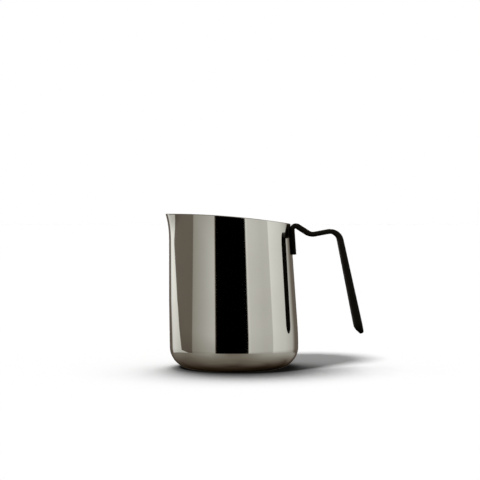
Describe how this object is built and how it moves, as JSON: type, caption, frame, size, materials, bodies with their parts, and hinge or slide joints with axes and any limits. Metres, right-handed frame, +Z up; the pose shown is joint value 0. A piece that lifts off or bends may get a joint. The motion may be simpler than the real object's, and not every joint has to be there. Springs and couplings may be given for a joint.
{
  "type": "milk frothing pitcher",
  "caption": "Small steel milk frothing pitcher with a slanted rim, a fluted pouring spout and an open handle bent from one flat strip.",
  "frame": {"origin": "centre of the standing ring under the base, on the surface that the pitcher stands on", "axes": "+Z up, +X towards the handle, -X towards the spout"},
  "size_m": [0.123, 0.08, 0.0956],
  "materials": {
    "body_steel": "polished graphite-tinted stainless steel",
    "handle_coating": "satin black powder coat",
    "weld_steel": "heat-tinted weld metal"
  },
  "bodies": {
    "root": {"body_shell": "body_steel", "handle": "handle_coating", "weld_nuggets": "weld_steel"}
  },
  "joints": []
}
